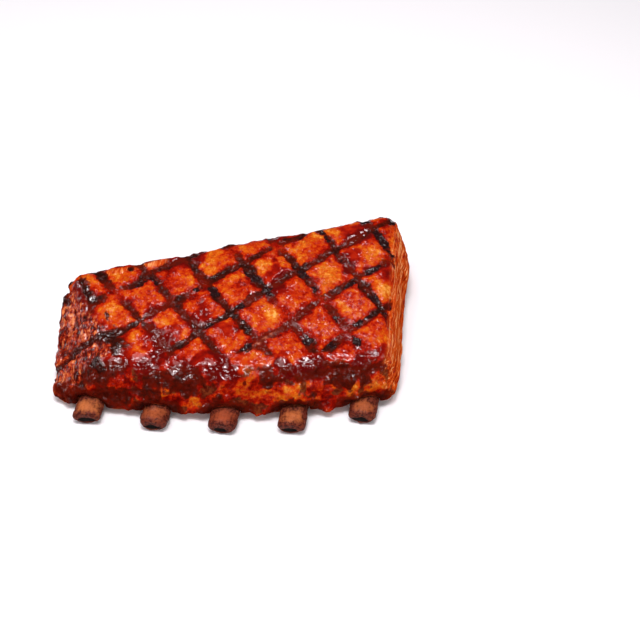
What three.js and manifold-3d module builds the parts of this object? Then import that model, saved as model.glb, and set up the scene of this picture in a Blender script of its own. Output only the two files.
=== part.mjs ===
// Half a rack of grilled pork back ribs: one slab of meat with five rib bones running through it.
// Millimetres, +Z up. X runs along the rack, across the ribs, and +Y runs along the ribs, from their
// bare tips at the front to the thick loin side at the back. The bone side is down. The rack stands on
// the bare bone tips and on the back edge of the meat, and arches a little between them.
import * as THREE from "three";
import { mergeVertices } from "three/addons/utils/BufferGeometryUtils.js";
import Module from "manifold-3d";

// Plan of the slab.
const RIGHT_X = 80;
const LEFT_X_FRONT = -72.5;
const LEFT_X_BACK = -78.5;
const FRONT_Y = -18;
const FRONT_SKEW = 0.093;
const FRONT_BOW = 0.00157;
const BACK_Y = 66.5;
const BACK_SKEW = 0.42;
const BACK_CORNER = 6;
const BACK_CORNER_X = 60;

// Heights of the slab.
const ARCH = 4.5;
const BONE_PROUD = 1.2;
const BACK_FOOT = 0.87;
const SHOULDER_Z = 24.5;
const ROOF_RISE = 9.5;
const ROOF_CROWN = 1.2;

// How the sides lean: the front face and the right-hand cut lean in towards the top.
const FRONT_LEAN = 6;
const CUT_LEAN_FRONT = 5;
const CUT_LEAN_BACK = 8;

// A tag of meat that stands out of the cut, placed and spread by shares of the slab's depth and height.
const CUT_TAG = { out: 2.4, across: 0.78, acrossSpread: 0.1, up: 0.45, upSpread: 0.3 };

// The left-hand end thins out like a wedge, which is long at the front and short at the back.
const WEDGE_FRONT = 38;
const WEDGE_BACK = 9;
const WEDGE_EDGE_FRONT = 0.28;
const WEDGE_EDGE_BACK = 0.6;
const WEDGE_FULLNESS = 1.7;

// Roundings of the slab, as shares of its half size along each axis.
const ROUND = { left: 0.09, right: 0.07, front: 0.22, back: 0.2, under: 0.2, top: 0.6 };

// The relief over the ribs on the front face, and the fold in its right-hand half.
const RIB_SWELL = 1.1;
const SWELL_FROM_Z = 2;
const SWELL_FULL_Z = 12;
const FOLD_DEPTH = 2;
const FOLD_Z = 19.5;
const FOLD_HEIGHT = 3;
const FOLD_START_X = 14;
const FOLD_RUN_IN = 20;
const FRONT_RELIEF_REACH = 0.2;

// Rib bones: flattened tubes that run from bare tips to the sawn ends in the back face.
const BONE_PITCH = 29.6;
const FIRST_BONE_X = -54.6;
const BONE_SPLAY = Math.tan(THREE.MathUtils.degToRad(3));
const BONE_WIDTH = 13.4;
const BONE_THICKNESS = 8;
const BONE_WAIST = 0.14;
const BARE_LENGTHS = [7, 7, 7.4, 9, 7];
const BONE_CHAMFER = 1;
const MARROW_DISH = 1.2;
const SAWN_END = 0.5;
const CLEARANCE = 0.3;

// Facets.
const SLAB_CELLS = { length: 34, depth: 16, height: 6 };
const BONE_SIDES = 16;
const BONE_RINGS = 12;

const { clamp, lerp, smoothstep } = THREE.MathUtils;

const frontEdge = (x) => FRONT_Y + FRONT_SKEW * x + FRONT_BOW * x * x;

function backEdge(x) {
  const beyond = Math.max(0, (x - BACK_CORNER_X) / (RIGHT_X - BACK_CORNER_X));
  return BACK_Y + BACK_SKEW * x - BACK_CORNER * beyond ** 2;
}

const leftEnd = (across) => lerp(LEFT_X_FRONT, LEFT_X_BACK, across);
const ribX = (rib, y) => FIRST_BONE_X + BONE_PITCH * rib + BONE_SPLAY * (y - FRONT_Y);

// Height of the arch under the rack, 0 at its front and back edges.
function archHeight(x, y) {
  const across = clamp((y - frontEdge(x)) / (backEdge(x) - frontEdge(x)), 0, 1);
  return 4 * ARCH * across * (1 - across);
}

// The cut end at the right: it leans in towards the top, more so at the back, where a tag of meat stands out.
function cutEnd(across, up) {
  const lean = lerp(CUT_LEAN_FRONT, CUT_LEAN_BACK, across) * up;
  const along = (across - CUT_TAG.across) / CUT_TAG.acrossSpread;
  const above = (up - CUT_TAG.up) / CUT_TAG.upSpread;
  return RIGHT_X - lean + CUT_TAG.out * Math.exp(-(along ** 2) - above ** 2);
}

// The upper face: a roof that rises from the front shoulder to the back and thins out to the left.
function roofHeight(x, across) {
  const roof = SHOULDER_Z + ROOF_RISE * across + ROOF_CROWN * Math.sin(Math.PI * across);
  const inward = clamp((x - leftEnd(across)) / lerp(WEDGE_FRONT, WEDGE_BACK, across), 0, 1);
  const edge = lerp(WEDGE_EDGE_FRONT, WEDGE_EDGE_BACK, across);
  return roof * lerp(edge, 1, 1 - (1 - inward) ** WEDGE_FULLNESS);
}

// How far the front face stands out at one place: it swells over each rib and folds in on the right.
function frontRelief(x, z) {
  const swell = RIB_SWELL * Math.cos((2 * Math.PI * (x - ribX(0, FRONT_Y))) / BONE_PITCH);
  const fold = FOLD_DEPTH * Math.exp(-(((z - FOLD_Z) / FOLD_HEIGHT) ** 2));
  const foldShare = smoothstep(x, FOLD_START_X, FOLD_START_X + FOLD_RUN_IN);
  return swell * smoothstep(z, SWELL_FROM_Z, SWELL_FULL_Z) - fold * foldShare;
}

// A point of the cube from -1 to 1 moved to the cube with rounded edges.
function roundOff(point) {
  const radii = [
    point.x < 0 ? ROUND.left : ROUND.right,
    point.y < 0 ? ROUND.front : ROUND.back,
    point.z < 0 ? ROUND.under : ROUND.top,
  ];
  const given = point.toArray();
  const core = given.map((value, axis) => clamp(value, radii[axis] - 1, 1 - radii[axis]));
  const out = given.map((value, axis) => (value - core[axis]) / radii[axis]);
  const reach = Math.hypot(...out);
  return core.map((value, axis) => value + (radii[axis] * out[axis]) / reach);
}

function slabGeometry() {
  const { length, depth, height } = SLAB_CELLS;
  const geometry = new THREE.BoxGeometry(2, 2, 2, length, depth, height);
  const place = geometry.getAttribute("position");
  const point = new THREE.Vector3();
  for (let i = 0; i < place.count; i++) {
    const [along, across, up] = roundOff(point.fromBufferAttribute(place, i)).map((c) => (c + 1) / 2);
    const x = lerp(leftEnd(across), cutEnd(across, up), along);
    const front = frontEdge(x) + FRONT_LEAN * up;
    const y = lerp(front, backEdge(x), across);
    const under = across > BACK_FOOT ? 0 : archHeight(x, y) + BONE_PROUD;
    const z = lerp(under, roofHeight(x, across), up);
    const atFront = 1 - smoothstep(across, 0, FRONT_RELIEF_REACH);
    place.setXYZ(i, x, y - atFront * frontRelief(x, z), z);
  }
  return geometry;
}

// A rib bone, or with grow the space that it takes in the meat. The cylinder's height becomes the bone's run,
// with its rings drawn together towards the two ends.
function boneGeometry(rib, grow = 0) {
  const geometry = new THREE.CylinderGeometry(1, 1, 1, BONE_SIDES, BONE_RINGS);
  const place = geometry.getAttribute("position");
  const tipY = frontEdge(ribX(rib, FRONT_Y)) - BARE_LENGTHS[rib] - grow;
  const endY = backEdge(ribX(rib, BACK_Y)) + SAWN_END + grow;
  const dish = grow > 0 ? 0 : MARROW_DISH;
  const chamfer = grow > 0 ? 0 : BONE_CHAMFER;
  for (let i = 0; i < place.count; i++) {
    const run = (1 + Math.sin(Math.PI * place.getY(i))) / 2;
    const side = place.getX(i);
    const up = place.getZ(i);
    const atEnd = Math.abs(place.getY(i)) > 0.499;
    const waist = 1 - BONE_WAIST * Math.sin(Math.PI * run);
    const halfWidth = (BONE_WIDTH * waist) / 2 + grow - (atEnd ? chamfer : 0);
    const halfThickness = BONE_THICKNESS / 2 + grow - (atEnd ? chamfer : 0);
    const inward = Math.hypot(side, up) < 1e-6 ? dish * Math.sign(0.5 - run) : 0;
    const axisY = lerp(tipY, endY, run) + inward;
    const x = ribX(rib, axisY) + side * halfWidth;
    const y = axisY + run * BACK_SKEW * side * halfWidth;
    const z = BONE_THICKNESS / 2 + archHeight(x, y) + up * halfThickness;
    place.setXYZ(i, x, y, z);
  }
  return geometry;
}

const wasm = await Module();
wasm.setup();

function solidOf(geometry) {
  const bare = geometry.clone();
  bare.deleteAttribute("normal");
  bare.deleteAttribute("uv");
  const merged = mergeVertices(bare, 1e-4);
  return new wasm.Manifold(
    new wasm.Mesh({
      numProp: 3,
      vertProperties: new Float32Array(merged.getAttribute("position").array),
      triVerts: new Uint32Array(merged.index.array),
    }),
  );
}

function geometryOf(solid) {
  const mesh = solid.getMesh();
  const geometry = new THREE.BufferGeometry();
  geometry.setAttribute("position", new THREE.BufferAttribute(mesh.vertProperties, 3));
  geometry.setIndex(new THREE.BufferAttribute(mesh.triVerts, 1));
  geometry.computeVertexNormals();
  return geometry;
}

const meatMaterial = new THREE.MeshStandardMaterial({ color: "#a8330f", roughness: 0.35, metalness: 0 });
const boneMaterial = new THREE.MeshStandardMaterial({ color: "#b5673f", roughness: 0.55, metalness: 0 });

function named(name, geometry, material) {
  const mesh = new THREE.Mesh(geometry, material);
  mesh.name = name;
  return mesh;
}

const rack = new THREE.Group();
let slab = solidOf(slabGeometry());
for (let rib = 0; rib < BARE_LENGTHS.length; rib++) {
  slab = slab.subtract(solidOf(boneGeometry(rib, CLEARANCE)));
  rack.add(named("rib_bone_" + (rib + 1), boneGeometry(rib), boneMaterial));
}
rack.add(named("meat_slab", geometryOf(slab), meatMaterial));

// The frame's origin is the middle of the rack's footprint, on the surface that it rests on.
const box = new THREE.Box3().setFromObject(rack);
const middle = box.getCenter(new THREE.Vector3());
rack.position.set(-middle.x, -middle.y, -box.min.z);

const part = new THREE.Group();
part.add(rack);

export default part;
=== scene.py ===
"""The looks of a half rack of grilled, glazed pork back ribs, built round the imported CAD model.

The meat slab is remeshed finely, and its lumps, grill grooves, fibres, crust and sauce are raised in the
mesh itself. The same fields that shape it are stored on its points and drive its material.
Lengths are millimetres in the part's own frame, and become metres as they enter Blender. The floor, the
lamps and the camera are placed in metres.
"""

import math
from itertools import product
from types import SimpleNamespace

import bmesh
import bpy
import numpy as np
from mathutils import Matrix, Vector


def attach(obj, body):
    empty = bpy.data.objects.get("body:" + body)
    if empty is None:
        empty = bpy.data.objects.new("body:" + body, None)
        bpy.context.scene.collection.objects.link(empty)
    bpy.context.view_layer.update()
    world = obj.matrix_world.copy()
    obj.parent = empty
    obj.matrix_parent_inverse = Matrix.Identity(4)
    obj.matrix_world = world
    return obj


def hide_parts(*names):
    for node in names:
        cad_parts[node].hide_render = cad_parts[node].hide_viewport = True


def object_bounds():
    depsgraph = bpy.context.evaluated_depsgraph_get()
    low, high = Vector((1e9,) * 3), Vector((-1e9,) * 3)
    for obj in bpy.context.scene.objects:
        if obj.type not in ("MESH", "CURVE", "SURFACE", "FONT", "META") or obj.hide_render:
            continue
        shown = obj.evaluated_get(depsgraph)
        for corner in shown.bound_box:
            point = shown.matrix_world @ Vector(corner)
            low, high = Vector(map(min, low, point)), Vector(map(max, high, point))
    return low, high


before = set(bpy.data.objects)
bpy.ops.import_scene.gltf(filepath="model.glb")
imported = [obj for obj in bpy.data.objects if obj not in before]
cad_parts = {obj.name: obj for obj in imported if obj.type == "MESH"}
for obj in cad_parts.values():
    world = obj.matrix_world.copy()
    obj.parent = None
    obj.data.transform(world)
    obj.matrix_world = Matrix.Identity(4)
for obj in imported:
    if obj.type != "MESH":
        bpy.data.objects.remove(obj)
cad_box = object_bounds()

MM = 0.001
RIBS = 5

# Plan of the slab. The front edge is a curve and the back edge a line: the factors of 1, x and x squared.
FRONT = (-53.25, 0.096, 0.00157)
BACK = (31.6, 0.42)

# The line of each rib in plan, and the axis of its bone, which arches a little between the front and the
# back.
RIB_X, RIB_PITCH, RIB_SPLAY, RIB_ROOT_Y = -55.6, 29.6, 0.0524, -53.4
BONE_AXIS_Z = 4.0
BONE_ARCH = 4.5
BONE_HALF_WIDTH = 6.6
BONE_HALF_THICKNESS = 4.0

# How pale the top of each bone is.
BONE_TINTS = [1.0, 0.45, 0.2, 0.8, 0.6]

# The marrow hole in a sawn end: how far it lies under the axis, its shares of the bone's width and
# thickness, and its depth.
MARROW_DROP = 1.3
MARROW_WIDTH, MARROW_HEIGHT = 0.62, 0.30
MARROW_DEPTH = 0.9

# Mesh fineness, and how far every point stays inside the CAD model's box.
MEAT_VOXEL = 0.73
BONE_VOXEL = 0.5
BOX_MARGIN = 0.02

# Grill marks: two sets of bars in plan that cross at about a right angle. A set's bars cross a line along X
# at even steps from the first, and each is turned a little further than the one before, in degrees.
BAR_SETS = [
    {"bars": 5, "line_y": -10, "first_x": -52, "step": 28.6, "angle": 42, "turn": 1.5},
    {"bars": 7, "line_y": 0, "first_x": -60.5, "step": 25.2, "angle": -44, "turn": -2},
]
MARK_WIDTH = 1.9
MARKS_BEHIND_FRONT = 16

# About what share of its own part of the surface each kind of patch covers.
BURNT_SUGAR_SHARE = 0.18
SAUCE_POOL_SHARE = 0.20
GRAINY_SHARE = 0.30
GLAZED_SHARE = 0.30
BARK_SHARE = 0.40
BURNT_FRONT_SHARE = 0.42
BRIGHT_FRONT_SHARE = 0.33
SMEAR_SHARE = 0.20

# Lobes of fat along the shoulder, two for each step from one rib to the next.
LOBES = 7
LOBE_BEHIND_FRONT = 11
LOBE_RADIUS = 6

# Scraps of meat that hang from the lower edge of the front: the radius of the one in each gap between ribs,
# or 0 where there is none.
SCRAP_RADII = [0, 3, 5, 4]
SCRAP_Z = 2

# The thin end widens from both its corners to a tip on the upper face. A crevice runs in across it, from
# the outer edge to a place behind that tip.
# The crevice is painted with shade.
THIN_END_TIP_X, THIN_END_TIP_Y = -46, -38
THIN_END_SLOPE = 0.78
CREVICE_START = (-78, -40)
CREVICE_END = (-44, -28.8)
CREVICE_WIDTH = 1.7

# A nub and a notch in the edge of the thin end, as (distance from the front or back edge, z, radius).
NUB_FROM_FRONT = (5, 6, 4)
NOTCH_FROM_BACK = (7, 22, 5)

# A strip of sinew inside the back edge, with a hole in it that is painted with shade.
SINEW_INSET = 6.5
SINEW_FROM_X, SINEW_TO_X = -62, -30
SINEW_WIDTH = 1.8
SINEW_HOLE_X, SINEW_HOLE_RADIUS = -47, 2

# A thin ridge of skin on the upper face, over the gap between the third and the fourth rib.
RIDGE_GAP = 2
RIDGE_BEHIND_FRONT = 24
RIDGE_HALF_LENGTH = 10
RIDGE_ANGLE = 46
RIDGE_WIDTH = 1.1
# A pale streak along the ridge, partly pale skin and partly a painted highlight.
STREAK_WIDTH = 0.8

# The crease under the shoulder in the right-hand half of the front, which is painted with shade.
CREASE_FROM_X, CREASE_Z = 30, 20.5

# The floor, in metres.
FLOOR_SIZE = 6
FLOOR_COLOUR = (0.90, 0.90, 0.90)

# Lamps, as (name, place, size, watts, colour), in metres. All lamps are aimed at the middle of the rack's
# footprint, which is the origin.
LAMPS = [
    ("overhead", (-0.06, -0.10, 0.80), (0.66, 0.42), 3.0, (1.0, 0.96, 0.98)),
    ("core", (0.02, -0.12, 0.80), (0.20, 0.12), 2.8, (1.0, 0.96, 1.0)),
    ("right_fill", (0.9, -0.3, 0.6), (0.5, 0.5), 1.8, (1.0, 1.0, 1.0)),
]

# Small lamps of one size and colour, as (place, watts), which make crisp glints in the glaze.
GLINT_LAMPS = [
    ((-0.30, -0.10, 0.76), 0.5),
    ((0.26, -0.16, 0.78), 0.5),
    ((0.10, 0.42, 0.75), 0.7),
    ((-0.22, 0.34, 0.78), 0.4),
    ((0.36, 0.30, 0.72), 0.4),
    ((-0.15, -0.68, 0.42), 0.8),
    ((0.20, -0.65, 0.45), 0.6),
    ((-0.75, 0.12, 0.38), 0.7),
    ((-0.66, -0.25, 0.50), 0.6),
]
GLINT_SIZE = (0.11, 0.07)
GLINT_COLOUR = (1.0, 0.95, 1.0)
WORLD_COLOUR = (0.94, 0.92, 0.94, 1)
WORLD_STRENGTH = 0.06

# The camera looks down on the front of the rack, from a little to its right, through a long lens. Its
# distance and aim are in metres, and its lens and sensor in millimetres.
CAMERA_AZIMUTH, CAMERA_ELEVATION = math.radians(6), math.radians(45)
CAMERA_DISTANCE = 0.567
CAMERA_AIM = (0.0400, -0.0003, 0.015)
CAMERA_LENS, CAMERA_SENSOR = 70, 36

# Factors that scramble the whole numbers behind the noise.
CELL_FACTORS = np.array([73856093, 19349663, 83492791])
SEED_FACTOR = 2654435761
MIX_FACTORS = (2246822519, 3266489917)
LOW_32_BITS = 0xFFFFFFFF


def smoothstep(low, high, value):
    """0 up to low, 1 from high and smooth between, or the other way round where low is the greater."""
    t = np.clip((value - low) / (high - low), 0, 1)
    return t * t * (3 - 2 * t)


def noise(points, size, seed=0):
    """Gradient noise at points, about -1 to 1. Its lumps have one size, or one for each axis."""
    place = points / np.asarray(size, float) + 31.7 * (seed + 1)
    cell = np.floor(place).astype(np.int64)
    inside = place - cell
    fade = inside**3 * (inside * (inside * 6 - 15) + 10)
    total = np.zeros(len(points))
    for corner in product((0, 1), repeat=3):
        scrambled = (cell + corner) * CELL_FACTORS
        code = scrambled[:, 0] ^ scrambled[:, 1] ^ scrambled[:, 2] ^ ((seed + 7) * SEED_FACTOR)
        code = ((code ^ (code >> 15)) * MIX_FACTORS[0]) & LOW_32_BITS
        code = ((code ^ (code >> 13)) * MIX_FACTORS[1]) & LOW_32_BITS
        angle = (code & 0xFFFF) * (2 * math.pi / 65536)
        height = ((code >> 16) & 0xFFFF) / 32768.0 - 1
        ring = np.sqrt(1 - height**2)
        away = inside - corner
        slope = ring * (np.cos(angle) * away[:, 0] + np.sin(angle) * away[:, 1]) + height * away[:, 2]
        weight = np.prod(np.where(corner, fade, 1 - fade), axis=1)
        total += weight * slope
    return 1.6 * total


def fractal(points, size, seed=0, octaves=3):
    """The sum of several noises, each half as large and half as strong as the one before it."""
    size = np.asarray(size, float)
    return sum(noise(points, size / 2**k, seed + 5 * k) / 2**k for k in range(octaves)) / 1.5


def front_edge(x):
    return FRONT[0] + FRONT[1] * x + FRONT[2] * x * x


def back_edge(x):
    return BACK[0] + BACK[1] * x


def rib_x(rib, y):
    """Where the middle of a rib lies at y."""
    return RIB_X + RIB_PITCH * rib + RIB_SPLAY * (y - RIB_ROOT_Y)


def gap_x(gap):
    """Where the middle of a gap between two ribs meets the front edge."""
    return RIB_X + RIB_PITCH * (gap + 0.5)


def patches(field, share, softness=0.4):
    """1 where field is among its highest values, on about that share of the points, and 0 elsewhere."""
    middle = np.quantile(field, 1 - share)
    spread = softness * np.std(field)
    return smoothstep(middle - spread, middle + spread, field)


def bar_distance(x, y):
    """Distance in plan from points to the nearest bar of the grill."""
    nearest = np.full(len(x), np.inf)
    for bars in BAR_SETS:
        for bar in range(bars["bars"]):
            angle = math.radians(bars["angle"] + bars["turn"] * bar)
            along = x - bars["first_x"] - bars["step"] * bar
            across = math.cos(angle) * (y - bars["line_y"]) - math.sin(angle) * along
            nearest = np.minimum(nearest, np.abs(across))
    return nearest


def spots(across, along, centres, wobble):
    """1 inside the given round spots and 0 outside, with ragged edges. wobble is noise of about -1 to 1."""
    found = np.zeros(len(across))
    for first, second, radius in centres:
        away = np.hypot(across - first, along - second) / radius
        found = np.maximum(found, smoothstep(1.25, 0.45, away + 0.45 * wobble))
    return found


def drawn_line(points, start, end, width, wobble):
    """1 on a straight line in plan from start to end and 0 away from it, with ragged edges."""
    run = np.subtract(end, start)
    share = np.clip((points[:, :2] - start) @ run / (run @ run), 0, 1)
    away = np.linalg.norm(points[:, :2] - start - share[:, None] * run, axis=1)
    return smoothstep(1.25, 0.7, away / width + wobble)


def keep_largest_shell(mesh):
    """Delete the tiny closed shells that remeshing leaves in narrow gaps."""
    shape = bmesh.new()
    shape.from_mesh(mesh)
    unseen = set(shape.verts)
    shells = []
    while unseen:
        shell = [unseen.pop()]
        for vertex in shell:
            for edge in vertex.link_edges:
                other = edge.other_vert(vertex)
                if other in unseen:
                    unseen.remove(other)
                    shell.append(other)
        shells.append(shell)
    shells.sort(key=len)
    specks = [vertex for shell in shells[:-1] for vertex in shell]
    bmesh.ops.delete(shape, geom=specks, context="VERTS")
    shape.to_mesh(mesh)
    shape.free()


def remeshed(node, voxel, name):
    """A finely and evenly meshed copy of a CAD node, in the part's own frame."""
    piece = bpy.data.objects.new(name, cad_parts[node].data.copy())
    bpy.context.collection.objects.link(piece)
    weld = piece.modifiers.new("weld", "WELD")
    weld.merge_threshold = 1e-6
    remesh = piece.modifiers.new("remesh", "REMESH")
    remesh.mode = "VOXEL"
    remesh.voxel_size = voxel * MM
    remesh.use_smooth_shade = True
    depsgraph = bpy.context.evaluated_depsgraph_get()
    mesh = bpy.data.meshes.new_from_object(piece.evaluated_get(depsgraph))
    piece.modifiers.clear()
    keep_largest_shell(mesh)
    piece.data = mesh
    mesh.name = name
    mesh.materials.clear()
    return piece


def points_of(mesh):
    flat = np.empty(3 * len(mesh.vertices))
    mesh.vertices.foreach_get("co", flat)
    return flat.reshape(-1, 3) / MM


def normals_of(mesh):
    flat = np.empty(3 * len(mesh.vertices))
    mesh.vertex_normals.foreach_get("vector", flat)
    return flat.reshape(-1, 3)


def kept_in_box(points):
    """points, moved where they must be to stay just inside the CAD model's box."""
    low, high = (np.array(corner) / MM for corner in cad_box)
    return np.clip(points, low + BOX_MARGIN, high - BOX_MARGIN)


def set_points(mesh, points):
    mesh.vertices.foreach_set("co", (points * MM).ravel())
    mesh.update()


def edges_of(mesh):
    flat = np.empty(2 * len(mesh.edges), np.int32)
    mesh.edges.foreach_get("vertices", flat)
    return flat.reshape(-1, 2)


def averaged(values, edges, rounds):
    """values on the points, each blended with its neighbours' so many times."""
    values = values.reshape(len(values), -1)
    count = np.bincount(edges.ravel(), minlength=len(values))[:, None]
    for _ in range(rounds):
        total = np.zeros_like(values)
        for axis in range(values.shape[1]):
            total[:, axis] = np.bincount(edges[:, 0], values[edges[:, 1], axis], len(values))
            total[:, axis] += np.bincount(edges[:, 1], values[edges[:, 0], axis], len(values))
        values = 0.5 * values + 0.5 * total / count
    return values


def store(mesh, name, values):
    """Keep values from 0 to 1 on the mesh's points, where the material finds them by name."""
    mesh.attributes.new(name, "FLOAT", "POINT").data.foreach_set("value", np.clip(values, 0, 1))


def lie_of(base, facing):
    """Where each point of the slab lies, which face it is on, and the noises that are used all over it.

    A face, like each mark, pool or fold that is added later, is 1 on its own points and 0 elsewhere.
    """
    at = SimpleNamespace(base=base)
    at.x, at.y, at.z = base.T
    at.coarse = fractal(base, 18, 2)
    at.wobble = fractal(base, 7, 11)
    at.ripple = fractal(base, 4.5, 21)
    at.tiny = noise(base, 2.2, 22)
    at.dripping = fractal(base, (3.2, 6, 7), 115)
    at.drift = np.stack([noise(base, 13, 31), noise(base, 13, 32), np.zeros(len(base))], axis=1)

    at.behind_front = at.y - front_edge(at.x)
    at.before_back = back_edge(at.x) - at.y
    at.top = smoothstep(0.45, 0.8, facing[:, 2])
    at.under = smoothstep(0.25, 0.7, -facing[:, 2])
    at.shown = 1 - at.under
    at.front = smoothstep(0.3, 0.75, -facing[:, 1]) * at.shown
    at.right = smoothstep(0.45, 0.8, facing[:, 0]) * at.shown
    at.back = smoothstep(0.4, 0.8, facing[:, 1]) * at.shown
    at.from_border = at.x - THIN_END_TIP_X + THIN_END_SLOPE * np.abs(at.y - THIN_END_TIP_Y)
    at.left = smoothstep(2.5, -2.5, at.from_border + 3 * noise(base, 6, 3)) * at.shown
    at.far_edge = smoothstep(-6, -2, -at.before_back) * smoothstep(50, 30, at.x) * at.shown
    at.shoulder = smoothstep(0.15, 0.35, -facing[:, 1]) * smoothstep(0.85, 0.6, -facing[:, 1])
    at.shoulder *= smoothstep(16, 21, at.z)
    at.upper = np.maximum(at.top, at.shoulder)
    return at


def add_bone_reach(at):
    """How near each point is to a bone's axis, where 1 is the bone's own surface."""
    across = np.clip(at.behind_front / (at.behind_front + at.before_back), 0, 1)
    axis_z = BONE_AXIS_Z + 4 * BONE_ARCH * across * (1 - across)
    at.bone_reach = np.full(len(at.base), np.inf)
    for rib in range(RIBS):
        side = (at.x - rib_x(rib, at.y)) / BONE_HALF_WIDTH
        reach = np.hypot(side, (at.z - axis_z) / BONE_HALF_THICKNESS)
        at.bone_reach = np.minimum(at.bone_reach, reach)


def add_grill_marks(at):
    """The marks of the bars, on which the rack didn't press evenly, and the sugar that burnt on them."""
    width = MARK_WIDTH * (1 + 0.4 * noise(at.base, 9, 41) + 0.35 * noise(at.base, 4, 42))
    moved = at.base + 1.4 * at.drift
    # How many widths away the nearest bar is.
    at.away = bar_distance(moved[:, 0], moved[:, 1]) / width
    reached = smoothstep(-3, 3, at.behind_front - MARKS_BEHIND_FRONT + 4 * at.wobble)
    grilled = at.top * (1 - at.left) * reached
    pressed = np.clip(0.75 + 0.9 * noise(at.base, 15, 43), 0.2, 1) * np.clip(1 + 0.9 * at.wobble, 0.25, 1.3)
    at.mark = grilled * pressed * smoothstep(1.25, 0.7, at.away + 0.45 * at.ripple + 0.35 * at.tiny)
    at.halo = smoothstep(2.3, 1.2, at.away + 0.6 * at.ripple) * at.top
    at.near_mark = smoothstep(2.0, 1.1, at.away) * at.top * smoothstep(-0.6, 0.2, at.coarse)

    # Sugar burnt to a black crust on parts of the marks, more of it on the right.
    at.sugar = patches(fractal(at.base, 11, 154) + 0.003 * at.x, BURNT_SUGAR_SHARE)
    at.sugar *= smoothstep(0.1, 0.5, at.mark + 0.6 * at.ripple * grilled)
    at.sugar *= smoothstep(2.2, 1.4, at.away + 0.6 * at.ripple + 0.5 * at.tiny)


def add_sauce(at):
    """Pools of smooth sauce, grainy meat that shows through, and patches of glossy glaze."""
    at.pool = patches(fractal(at.base, 15, 151) + 0.15 * at.shoulder, SAUCE_POOL_SHARE) * at.upper
    at.grainy = patches(fractal(at.base, 14, 152), GRAINY_SHARE)
    at.grainy *= at.top * (1 - 0.7 * at.mark) * (1 - at.pool)
    at.glazed = patches(fractal(at.base, 12, 153) + 0.003 * at.x, GLAZED_SHARE) * at.top


def add_thin_end(at):
    """The crevice across the thin end, which is painted with shade, and the bark along the border of it."""
    ragged = 0.7 * at.ripple + 0.4 * at.tiny
    at.crevice = drawn_line(at.base + at.drift, CREVICE_START, CREVICE_END, CREVICE_WIDTH, ragged)
    at.crevice *= at.shown
    border = smoothstep(9, 4, np.abs(at.from_border) + 3 * at.ripple + 2 * at.tiny)
    at.bark = border * patches(fractal(at.base, 10, 155), BARK_SHARE) * smoothstep(10, 15, at.z) * at.shown


def add_ridge_and_sinew(at):
    """The ridge of skin with its pale streak, which is partly a painted highlight, and the strip of sinew
    with its hole, which is painted with shade.
    """
    middle = np.array([gap_x(RIDGE_GAP), front_edge(gap_x(RIDGE_GAP)) + RIDGE_BEHIND_FRONT])
    angle = math.radians(RIDGE_ANGLE)
    reach = RIDGE_HALF_LENGTH * np.array([math.cos(angle), math.sin(angle)])
    moved = at.base + 0.8 * at.drift
    at.ridge = drawn_line(moved, middle - reach, middle + reach, RIDGE_WIDTH, 0.3 * at.ripple) * at.upper
    ragged = 0.5 * at.ripple + 0.5 * at.tiny
    at.streak = drawn_line(moved, middle - reach, middle + reach, STREAK_WIDTH, ragged) * at.upper

    from_middle = np.abs(SINEW_INSET - at.before_back) / SINEW_WIDTH
    at.sinew = smoothstep(1.25, 0.7, from_middle + 0.7 * at.ripple)
    at.sinew *= smoothstep(SINEW_FROM_X, SINEW_FROM_X + 5, at.x)
    at.sinew *= smoothstep(SINEW_TO_X, SINEW_TO_X - 5, at.x)
    hole = (SINEW_HOLE_X, back_edge(SINEW_HOLE_X) - SINEW_INSET, SINEW_HOLE_RADIUS)
    at.hole = spots(at.x, at.y, [hole], at.ripple) * smoothstep(20, 25, at.z)


def add_front(at):
    """What lies along the front face and its shoulder."""
    low_front = at.front * smoothstep(3, 8, at.z)
    burnt = fractal(at.base, (14, 14, 10), 156) + 0.4 * at.dripping - 0.004 * at.x
    bright = fractal(at.base, (13, 13, 8), 157) + 0.2 * at.dripping + 0.004 * at.x
    smear = fractal(at.base, (10, 10, 8), 158) + 0.4 * at.dripping + 0.002 * at.x
    at.burnt_front = patches(burnt, BURNT_FRONT_SHARE) * low_front
    at.bright = patches(bright, BRIGHT_FRONT_SHARE) * at.front * (1 - at.burnt_front)
    at.smear = patches(smear, SMEAR_SHARE) * low_front
    middles = RIB_X + RIB_PITCH * (0.25 + 0.5 * np.arange(LOBES))
    lobes = [(x, front_edge(x) + LOBE_BEHIND_FRONT, LOBE_RADIUS) for x in middles]
    at.lobe = spots(at.x, at.y, lobes, 0.3 * at.wobble) * smoothstep(18, 22, at.z)
    # The crease is sunk into the mesh and painted with shade.
    at.crease = smoothstep(CREASE_FROM_X - 5, CREASE_FROM_X + 8, at.x) * at.front
    at.crease *= smoothstep(3.2, 0.6, np.abs(at.z - CREASE_Z + 0.8 * at.wobble))
    sides = np.clip(at.front + at.left + 0.4 * at.right, 0, 1)
    # A band along the lower edge, which is torn and darker.
    at.rim = smoothstep(6, 1.5, at.z + 1.5 * at.wobble) * sides * at.shown
    # Where the meat meets the bones: partly char and partly painted shade.
    at.collar = smoothstep(2.3, 1.2, at.bone_reach + 0.3 * at.ripple) * at.front


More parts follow.
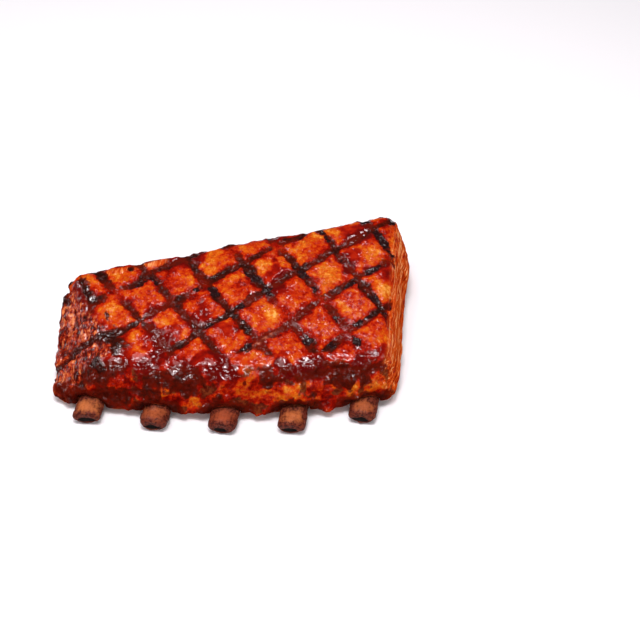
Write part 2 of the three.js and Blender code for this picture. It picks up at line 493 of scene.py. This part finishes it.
def meat_relief(at):
    """How far each point is raised along its normal."""
    base = at.base
    lumps = 0.6 * at.coarse + 0.35 * at.wobble + 0.25 * at.ripple + 0.09 * at.tiny
    puffs = 0.45 * smoothstep(0.9, 2.2, at.away) * at.top - 0.5 * at.mark
    grain = 0.22 * fractal(base, 1.9, 61, 2) * at.grainy
    crust = 0.5 * fractal(base, 3.0, 71) * np.clip(1.6 * at.sugar + 0.4 * at.mark + at.burnt_front, 0, 1.6)
    crust += (0.5 + 1.1 * fractal(base, 2.8, 75, 2)) * at.bark
    slanted = base @ np.array([[1, 0, 0], [-0.1, 1, -0.6], [0, 0, 1]])
    strands = (1.1 * fractal(slanted, (3.4, 9, 3.4), 81, 2) + 1.5 * fractal(base, 4.0, 85, 2)) * at.left
    fibres = 0.8 * fractal(base, (2.0, 18, 2.1), 91, 2) * at.right
    wrinkles = 1.3 * fractal(base, (8, 8, 5), 101, 4) + 0.5 * fractal(base, 2.8, 103, 2)
    wrinkles *= at.front + 0.8 * at.back
    wrinkles += 0.5 * fractal(base, (8, 2.6, 2.6), 105, 2) * at.shoulder
    runs = smoothstep(0.0, 0.5, noise(base, (5, 5, 15), 111)) + 0.5 * at.dripping
    runs *= at.front + 0.7 * at.back
    folds = at.lobe - 0.9 * at.crease - 1.1 * at.crevice - 1.5 * at.hole + 0.6 * at.sinew + 0.5 * at.ridge
    skin = 0.4 * fractal(base, (9, 16, 9), 121) * at.under + 0.35 * at.pool
    torn = (1.6 * fractal(base, 4.5, 131) + 1.4 * noise(base, (13, 40, 40), 135) - 0.4) * at.rim
    scraps = [(gap_x(gap), SCRAP_Z, radius) for gap, radius in enumerate(SCRAP_RADII) if radius > 0]
    torn += 1.8 * at.front * spots(at.x, at.z, scraps, at.ripple)
    torn += 1.4 * at.left * spots(at.behind_front, at.z, [NUB_FROM_FRONT], at.tiny)
    torn -= 1.8 * at.left * spots(at.before_back, at.z, [NOTCH_FROM_BACK], at.tiny)
    calm = 1 - 0.6 * np.maximum(at.pool, at.lobe)
    return (lumps + grain + crust + strands + fibres) * calm + puffs + wrinkles + runs + folds + skin + torn


def meat_tone(at, swelling):
    """From 0, deep red, to 1, yellow. A hollow gets painted shade and a swelling a painted highlight, so
    the one is darker and the other paler.
    """
    tone = 0.47 + 0.20 * fractal(at.base, 11, 141) + 0.25 * np.clip(swelling, -1, 1)
    tone += 0.24 * at.grainy - 0.20 * at.halo - 0.28 * at.pool - 0.14 * at.shoulder - 0.22 * at.front
    # Painted shade darkens the crease, and the tone is lower along the lower edge.
    return tone - 0.20 * at.left + 0.36 * at.bright - 0.25 * at.crease - 0.25 * at.rim - 0.16 * at.far_edge


def meat_char_and_shade(at):
    """How far each point is burnt or painted with shade, which is as far as the strongest of these on it.
    """
    burns_and_shades = [
        0.85 * at.mark,
        0.62 * at.burnt_front,
        # Painted shade in the crevice.
        0.8 * at.crevice,
        0.95 * at.bark,
        # Painted shade in the crease.
        0.45 * at.crease,
        # Darker along the lower edge.
        0.6 * at.rim,
        # Partly char and partly painted shade round the bones.
        0.8 * at.collar,
        # Painted shade in the sinew's hole.
        at.hole,
        at.back * smoothstep(0.1, 0.8, at.wobble + 0.5 * at.dripping + (at.z - 20) / 20),
    ]
    return np.maximum.reduce(burns_and_shades)


def meat_gloss(at, up):
    """How glossy each point is. up is how far it faces upwards, and without that it keeps little gloss."""
    shiny = np.maximum.reduce([at.glazed, 0.4 * at.pool, at.shoulder, 0.7 * at.front, 0.8 * at.left])
    wet = 0.62 + 0.38 * shiny - 0.1 * at.mark - 0.1 * at.near_mark - 0.5 * at.right + 0.3 * at.sugar
    ledge = smoothstep(0.3, 0.65, up)
    return np.clip(wet, 0.02, 1) * (0.06 + 0.94 * ledge) * (1 - 0.6 * at.smear)


def make_meat():
    piece = remeshed("meat_slab", MEAT_VOXEL, "glazed_meat")
    mesh = piece.data
    edges = edges_of(mesh)
    set_points(mesh, averaged(points_of(mesh), edges, 6))
    base = points_of(mesh)
    normal = normals_of(mesh)
    facing = averaged(normal, edges, 25)
    facing /= np.linalg.norm(facing, axis=1)[:, None]

    at = lie_of(base, facing)
    add_bone_reach(at)
    add_grill_marks(at)
    add_sauce(at)
    add_thin_end(at)
    add_ridge_and_sinew(at)
    add_front(at)

    # Near the bones the relief fades out, so that the meat stays off them.
    relief = meat_relief(at)
    raised = relief * smoothstep(1.05, 1.5, at.bone_reach) - 0.25 * at.top
    set_points(mesh, kept_in_box(base + normal * raised[:, None]))

    swelling = averaged(relief, edges, 4) - averaged(relief, edges, 40)
    up = averaged(normals_of(mesh), edges, 1)[:, 2]
    store(mesh, "tone", meat_tone(at, swelling[:, 0]))
    store(mesh, "char_and_shade", meat_char_and_shade(at))
    store(mesh, "sugar", at.sugar)
    store(mesh, "smear", at.smear)
    store(mesh, "wet", meat_gloss(at, up))
    store(mesh, "smooth", np.maximum.reduce([0.85 * at.pool, 0.5 * at.shoulder, 0.8 * at.lobe]))
    store(mesh, "streak", at.streak)
    store(mesh, "left_end", at.left)
    store(mesh, "cut_side", np.maximum(at.right, 0.9 * at.sinew * at.shown))
    store(mesh, "under", at.under)
    return piece


def make_bone(rib):
    piece = remeshed(f"rib_bone_{rib + 1}", BONE_VOXEL, f"bone_{rib + 1}")
    mesh = piece.data
    edges = edges_of(mesh)
    given = points_of(mesh)
    along = given[:, 1]
    from_end = np.minimum(along - along.min(), along.max() - along)

    # Both ends are worn rounder than the rest and a little narrower.
    worn = smoothstep(6, 2, from_end)[:, None]
    base = (1 - worn) * averaged(given, edges, 3) + worn * averaged(given, edges, 24)
    middle = rib_x(rib, base[:, 1])
    base[:, 0] = middle + (base[:, 0] - middle) * (1 - 0.1 * smoothstep(2.5, 0, from_end) ** 2)
    set_points(mesh, base)
    normal = normals_of(mesh)

    seed = 10 * rib
    ripple = fractal(base, 3.5, seed + 1)
    across = (base[:, 0] - middle) / BONE_HALF_WIDTH
    above = (base[:, 2] - BONE_AXIS_Z + MARROW_DROP) / BONE_HALF_THICKNESS
    from_marrow = np.hypot(across / MARROW_WIDTH, above / MARROW_HEIGHT)
    sawn = smoothstep(0.55, 0.85, np.abs(normal[:, 1]))
    marrow = sawn * smoothstep(1.1, 0.6, from_marrow + 0.5 * ripple)
    relief = 0.6 * fractal(base, 6, seed + 2) + 0.3 * ripple + 0.1 * noise(base, 1.4, seed + 3)
    relief -= MARROW_DEPTH * marrow + 0.15
    set_points(mesh, kept_in_box(base + normal * relief[:, None]))

    # The upper side is pale a little way in from each end, and the rest is browned. The paleness follows
    # how far the surface faces up, so it is partly painted light on the upper side, with painted shade on
    # the sides.
    pale = smoothstep(0.1, 0.95, normal[:, 2]) * smoothstep(1.15, 0.1, np.abs(across) + 0.4 * ripple)
    pale *= smoothstep(0.0, 3.5, from_end + ripple) * smoothstep(10, 5, from_end + ripple)
    store(mesh, "marrow", marrow)
    store(mesh, "pale", pale)
    store(mesh, "tint", np.full(len(base), BONE_TINTS[rib]))
    return piece


class Nodes:
    """Builds one node material with short calls."""

    def __init__(self, name):
        self.material = bpy.data.materials.new(name)
        self.material.use_nodes = True
        self.tree = self.material.node_tree
        self.tree.nodes.clear()
        self.place = self.add("ShaderNodeNewGeometry").outputs["Position"]

    def add(self, kind, **settings):
        """A new node of the kind, with the given settings."""
        node = self.tree.nodes.new(kind)
        for key, value in settings.items():
            setattr(node, key, value)
        return node

    def put(self, socket, value):
        """Give a socket its value, which is a number, a colour or the output of another node."""
        if isinstance(value, bpy.types.NodeSocket):
            self.tree.links.new(value, socket)
        elif isinstance(value, tuple) and len(value) == 3 and socket.type == "RGBA":
            socket.default_value = (*value, 1)
        else:
            socket.default_value = value

    def math(self, operation, a, b):
        node = self.add("ShaderNodeMath", operation=operation)
        self.put(node.inputs[0], a)
        self.put(node.inputs[1], b)
        return node.outputs[0]

    def field(self, name):
        """The values stored on the points under a name."""
        return self.add("ShaderNodeAttribute", attribute_name=name).outputs["Fac"]

    def noise(self, size, detail=3.0, stretch=(1, 1, 1), rough=0.55, distortion=0.0, slant=0.0):
        """Noise from 0 to 1, with lumps of size millimetres, drawn out along each axis by stretch.

        slant is the angle in degrees by which the drawn-out lumps climb along +Y.
        """
        mapping = self.add("ShaderNodeMapping", vector_type="TEXTURE")
        self.put(mapping.inputs["Vector"], self.place)
        mapping.inputs["Rotation"].default_value = (math.radians(slant), 0, 0)
        mapping.inputs["Scale"].default_value = [size * MM * share for share in stretch]
        node = self.add("ShaderNodeTexNoise")
        self.put(node.inputs["Vector"], mapping.outputs[0])
        self.put(node.inputs["Scale"], 1.0)
        self.put(node.inputs["Detail"], detail)
        self.put(node.inputs["Roughness"], rough)
        self.put(node.inputs["Distortion"], distortion)
        return node.outputs["Fac"]

    def step(self, value, low, high):
        """0 below low, 1 above high and smooth between."""
        node = self.add("ShaderNodeMapRange", interpolation_type="SMOOTHSTEP")
        self.put(node.inputs["Value"], value)
        self.put(node.inputs["From Min"], low)
        self.put(node.inputs["From Max"], high)
        return node.outputs[0]

    def mix(self, share, a, b):
        """Colour a where share is 0 and colour b where it is 1."""
        node = self.add("ShaderNodeMix", data_type="RGBA")
        self.put(node.inputs[0], share)
        self.put(node.inputs[6], a)
        self.put(node.inputs[7], b)
        return node.outputs[2]

    def ramp(self, value, stops):
        """Colour at value, through stops (place, colour)."""
        node = self.add("ShaderNodeValToRGB")
        self.put(node.inputs[0], value)
        elements = node.color_ramp.elements
        while len(elements) < len(stops):
            elements.new(1.0)
        for element, (place, colour) in zip(elements, stops):
            element.position = place
            element.color = (*colour, 1)
        return node.outputs[0]

    def around(self, value, share):
        """A noise from 0 to 1 as one from about -share to +share."""
        return self.math("MULTIPLY", self.math("SUBTRACT", value, 0.5), 2 * share)

    def total(self, *values):
        result = values[0]
        for value in values[1:]:
            result = self.math("ADD", result, value)
        return result

    def product(self, *values):
        result = values[0]
        for value in values[1:]:
            result = self.math("MULTIPLY", result, value)
        return result

    def bump(self, height, distance, normal=None):
        """The normal of a surface that height, from 0 to 1, raises by up to distance millimetres."""
        node = self.add("ShaderNodeBump")
        self.put(node.inputs["Height"], height)
        self.put(node.inputs["Distance"], distance * MM)
        self.put(node.inputs["Strength"], 1.0)
        if normal is not None:
            self.put(node.inputs["Normal"], normal)
        return node.outputs[0]

    def finish(self, **sockets):
        """The material, with its one shader's sockets set by name."""
        shader = self.add("ShaderNodeBsdfPrincipled")
        output = self.add("ShaderNodeOutputMaterial")
        for name, value in sockets.items():
            self.put(shader.inputs[name.replace("_", " ")], value)
        self.tree.links.new(shader.outputs[0], output.inputs["Surface"])
        return self.material


def meat_material():
    n = Nodes("glazed_meat")
    tone, char_and_shade, sugar, smear = n.field("tone"), n.field("char_and_shade"), n.field("sugar"), n.field("smear")
    wet, smooth, streak = n.field("wet"), n.field("smooth"), n.field("streak")
    left, side, under = n.field("left_end"), n.field("cut_side"), n.field("under")
    patch = n.noise(5, 7, rough=0.62)
    speck = n.noise(1.8, 5, rough=0.62)
    fine = n.noise(0.75, 3)
    pepper = n.noise(1.1, 4, rough=0.8)
    rough = n.math("SUBTRACT", 1.0, n.math("MULTIPLY", smooth, 0.85))

    # Glazed meat, from deep red where sauce has gathered to yellow-orange where the meat shows through.
    shade = n.total(
        tone,
        n.around(patch, 0.40),
        n.product(rough, n.around(speck, 0.55)),
        n.product(rough, n.around(fine, 0.18)),
    )
    colour = n.ramp(
        shade,
        [
            (0.05, (0.10, 0.0015, 0.0008)),
            (0.25, (0.24, 0.004, 0.0008)),
            (0.42, (0.40, 0.016, 0.002)),
            (0.56, (0.48, 0.047, 0.003)),
            (0.72, (0.53, 0.092, 0.004)),
            (0.88, (0.62, 0.195, 0.018)),
            (1.0, (0.78, 0.32, 0.06)),
        ],
    )
    colour = n.mix(n.product(n.step(pepper, 0.60, 0.68), rough, 0.75), colour, (0.09, 0.004, 0.0015))
    veins = n.step(n.noise(3.2, 4, (1, 2.2, 1), 0.7, 1.2), 0.57, 0.66)
    colour = n.mix(n.product(veins, rough, 0.45), colour, (0.20, 0.006, 0.002))
    # The pale streak along the ridge: partly pale skin and partly a painted highlight.
    colour = n.mix(n.math("MULTIPLY", streak, 0.45), colour, (0.66, 0.24, 0.13))

    # The cut side: long fibres, tan and yellow between red.
    strands = n.noise(1.3, 5, (1, 9, 1), 0.66, 0.6)
    flesh = n.ramp(
        n.total(strands, n.around(speck, 0.08)),
        [
            (0.36, (0.18, 0.008, 0.002)),
            (0.45, (0.46, 0.036, 0.003)),
            (0.54, (0.57, 0.083, 0.008)),
            (0.64, (0.80, 0.33, 0.12)),
        ],
    )
    colour = n.mix(side, colour, flesh)

    # The thin end: strands under a dry crust.
    strips = n.noise(2.2, 5, (1, 4, 1), 0.65, 0.8, slant=31)
    torn = n.ramp(
        n.total(strips, n.around(speck, 0.30)),
        [
            (0.38, (0.025, 0.003, 0.0015)),
            (0.48, (0.16, 0.006, 0.002)),
            (0.56, (0.40, 0.036, 0.008)),
            (0.68, (0.78, 0.26, 0.08)),
        ],
    )
    colour = n.mix(n.math("MULTIPLY", left, 0.85), colour, torn)

    # The bone side: dry membrane.
    skin = n.mix(n.step(patch, 0.35, 0.65), (0.20, 0.035, 0.012), (0.44, 0.12, 0.04))
    colour = n.mix(under, colour, skin)

    # Dried sauce, then char and painted shade: maroon where it is thin and nearly black where it is thick.
    dried = n.mix(n.step(speck, 0.42, 0.58), (0.06, 0.008, 0.003), (0.13, 0.026, 0.008))
    smeared = n.step(n.total(smear, n.around(patch, 1.1), n.around(speck, 0.8)), 0.25, 0.85)
    colour = n.mix(n.product(smeared, n.step(smear, 0.02, 0.15), 0.9), colour, dried)
    uneven = n.total(n.around(patch, 0.45), n.around(speck, 0.5))
    burn_and_shade = n.total(char_and_shade, n.product(n.step(char_and_shade, 0.02, 0.3), uneven))
    colour = n.mix(n.product(n.step(burn_and_shade, 0.10, 0.40), 0.95), colour, (0.095, 0.005, 0.0015))
    colour = n.mix(n.product(n.step(burn_and_shade, 0.45, 0.80), 0.9), colour, (0.036, 0.004, 0.002))
    colour = n.mix(n.product(n.step(burn_and_shade, 0.80, 1.05), 0.8), colour, (0.012, 0.003, 0.002))
    soot = n.step(n.total(sugar, n.product(n.step(sugar, 0.02, 0.3), n.around(speck, 0.9))), 0.3, 0.9)
    colour = n.mix(soot, colour, (0.016, 0.004, 0.004))

    # Fine relief. Each height has few octaves, since finer slopes would only blur the reflections to grey.
    crusty = n.math("MAXIMUM", sugar, n.math("MULTIPLY", char_and_shade, 0.5))
    crusty = n.math("MAXIMUM", crusty, n.math("MULTIPLY", left, 0.6))
    fibre = n.total(
        n.product(side, n.noise(1.6, 1, (1, 9, 1))),
        n.product(left, 1.5, n.noise(2.2, 1, (1, 4, 1), slant=31)),
    )
    grit = n.noise(2.3, 1)
    soft = n.bump(fibre, 0.8, n.bump(n.noise(4.2, 1), 0.5))
    full = n.bump(n.product(rough, n.noise(1.2, 2)), 0.45, soft)
    glaze = n.bump(n.product(n.total(n.product(rough, 0.7), crusty), grit), 0.45, soft)
    glaze = n.bump(n.product(rough, n.noise(1.0, 1)), 0.16, glaze)

    # The glaze is broken into glints where it is thin.
    glints = n.step(n.total(n.noise(2.0, 2), n.product(wet, 0.06)), 0.55, 0.60)
    thin = n.math("MINIMUM", 1.0, n.math("MULTIPLY", rough, 1.15))
    gloss = n.product(wet, n.math("SUBTRACT", 1.0, n.product(thin, 0.9, n.math("SUBTRACT", 1.0, glints))))
    return n.finish(
        Base_Color=colour,
        Roughness=0.55,
        Specular_IOR_Level=0.0,
        Normal=full,
        Subsurface_Weight=0.04,
        Subsurface_Radius=(1.0, 0.2, 0.05),
        Subsurface_Scale=0.0012,
        Coat_Weight=gloss,
        Coat_Roughness=0.06,
        Coat_Normal=glaze,
    )


def bone_material():
    n = Nodes("browned_bone")
    marrow, pale, tint = n.field("marrow"), n.field("pale"), n.field("tint")
    patch = n.noise(3.5, 5, rough=0.6)
    speck = n.noise(0.9, 4)
    grain = n.noise(0.9, 3, (1, 7, 1))
    # The pale top colour is partly painted light where the bone faces up, and the low colour partly painted
    # shade on its sides.
    top = n.mix(tint, (0.27, 0.042, 0.017), (0.45, 0.125, 0.036))
    low = n.mix(n.step(speck, 0.4, 0.6), (0.05, 0.007, 0.004), (0.15, 0.027, 0.014))
    shown = n.total(pale, n.around(patch, 0.8), n.around(grain, 0.5), n.around(speck, 0.4))
    colour = n.mix(n.step(shown, 0.0, 1.15), low, top)
    colour = n.mix(n.product(n.step(speck, 0.54, 0.68), 0.5), colour, (0.12, 0.020, 0.010))
    colour = n.mix(n.step(n.total(marrow, n.around(speck, 0.25)), 0.2, 0.5), colour, (0.008, 0.005, 0.004))
    height = n.total(n.product(speck, 0.6), n.product(grain, 0.4))
    return n.finish(
        Base_Color=colour,
        Roughness=0.5,
        Specular_IOR_Level=0.05,
        Normal=n.bump(height, 0.5),
        Coat_Weight=0.06,
        Coat_Roughness=0.25,
    )


def make_floor():
    bpy.ops.mesh.primitive_plane_add(size=FLOOR_SIZE)
    floor = bpy.context.object
    floor.name = "floor"
    n = Nodes("floor")
    floor.data.materials.append(n.finish(Base_Color=FLOOR_COLOUR, Roughness=1.0, Specular_IOR_Level=0.0))


def area_light(name, place, size, power, colour):
    """A rectangular lamp, aimed at the origin."""
    light = bpy.data.lights.new(name, "AREA")
    light.shape = "RECTANGLE"
    light.size, light.size_y = size
    light.energy = power
    light.color = colour
    lamp = bpy.data.objects.new(name, light)
    lamp.location = place
    lamp.rotation_euler = lamp.location.to_track_quat("Z", "Y").to_euler()
    bpy.context.collection.objects.link(lamp)


def light_scene():
    world = bpy.data.worlds.new("studio")
    world.use_nodes = True
    background = world.node_tree.nodes["Background"]
    background.inputs["Color"].default_value = WORLD_COLOUR
    background.inputs["Strength"].default_value = WORLD_STRENGTH
    bpy.context.scene.world = world
    for lamp in LAMPS:
        area_light(*lamp)
    for index, (place, power) in enumerate(GLINT_LAMPS):
        area_light(f"lamp_{index + 1}", place, GLINT_SIZE, power, GLINT_COLOUR)
    bpy.context.scene.view_settings.view_transform = "Standard"


def add_camera():
    camera = bpy.data.cameras.new("camera")
    camera.lens = CAMERA_LENS
    camera.sensor_width = CAMERA_SENSOR
    eye = bpy.data.objects.new("camera", camera)
    eye.rotation_euler = (math.pi / 2 - CAMERA_ELEVATION, 0, CAMERA_AZIMUTH)
    level = CAMERA_DISTANCE * math.cos(CAMERA_ELEVATION)
    eye.location = (
        CAMERA_AIM[0] + level * math.sin(CAMERA_AZIMUTH),
        CAMERA_AIM[1] - level * math.cos(CAMERA_AZIMUTH),
        CAMERA_AIM[2] + CAMERA_DISTANCE * math.sin(CAMERA_ELEVATION),
    )
    bpy.context.collection.objects.link(eye)
    bpy.context.scene.camera = eye


meat = make_meat()
meat.data.materials.append(meat_material())
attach(meat, "root")
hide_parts("meat_slab")

bone_look = bone_material()
for rib in range(RIBS):
    bone = make_bone(rib)
    bone.data.materials.append(bone_look)
    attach(bone, "root")
    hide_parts(f"rib_bone_{rib + 1}")

make_floor()
light_scene()
add_camera()
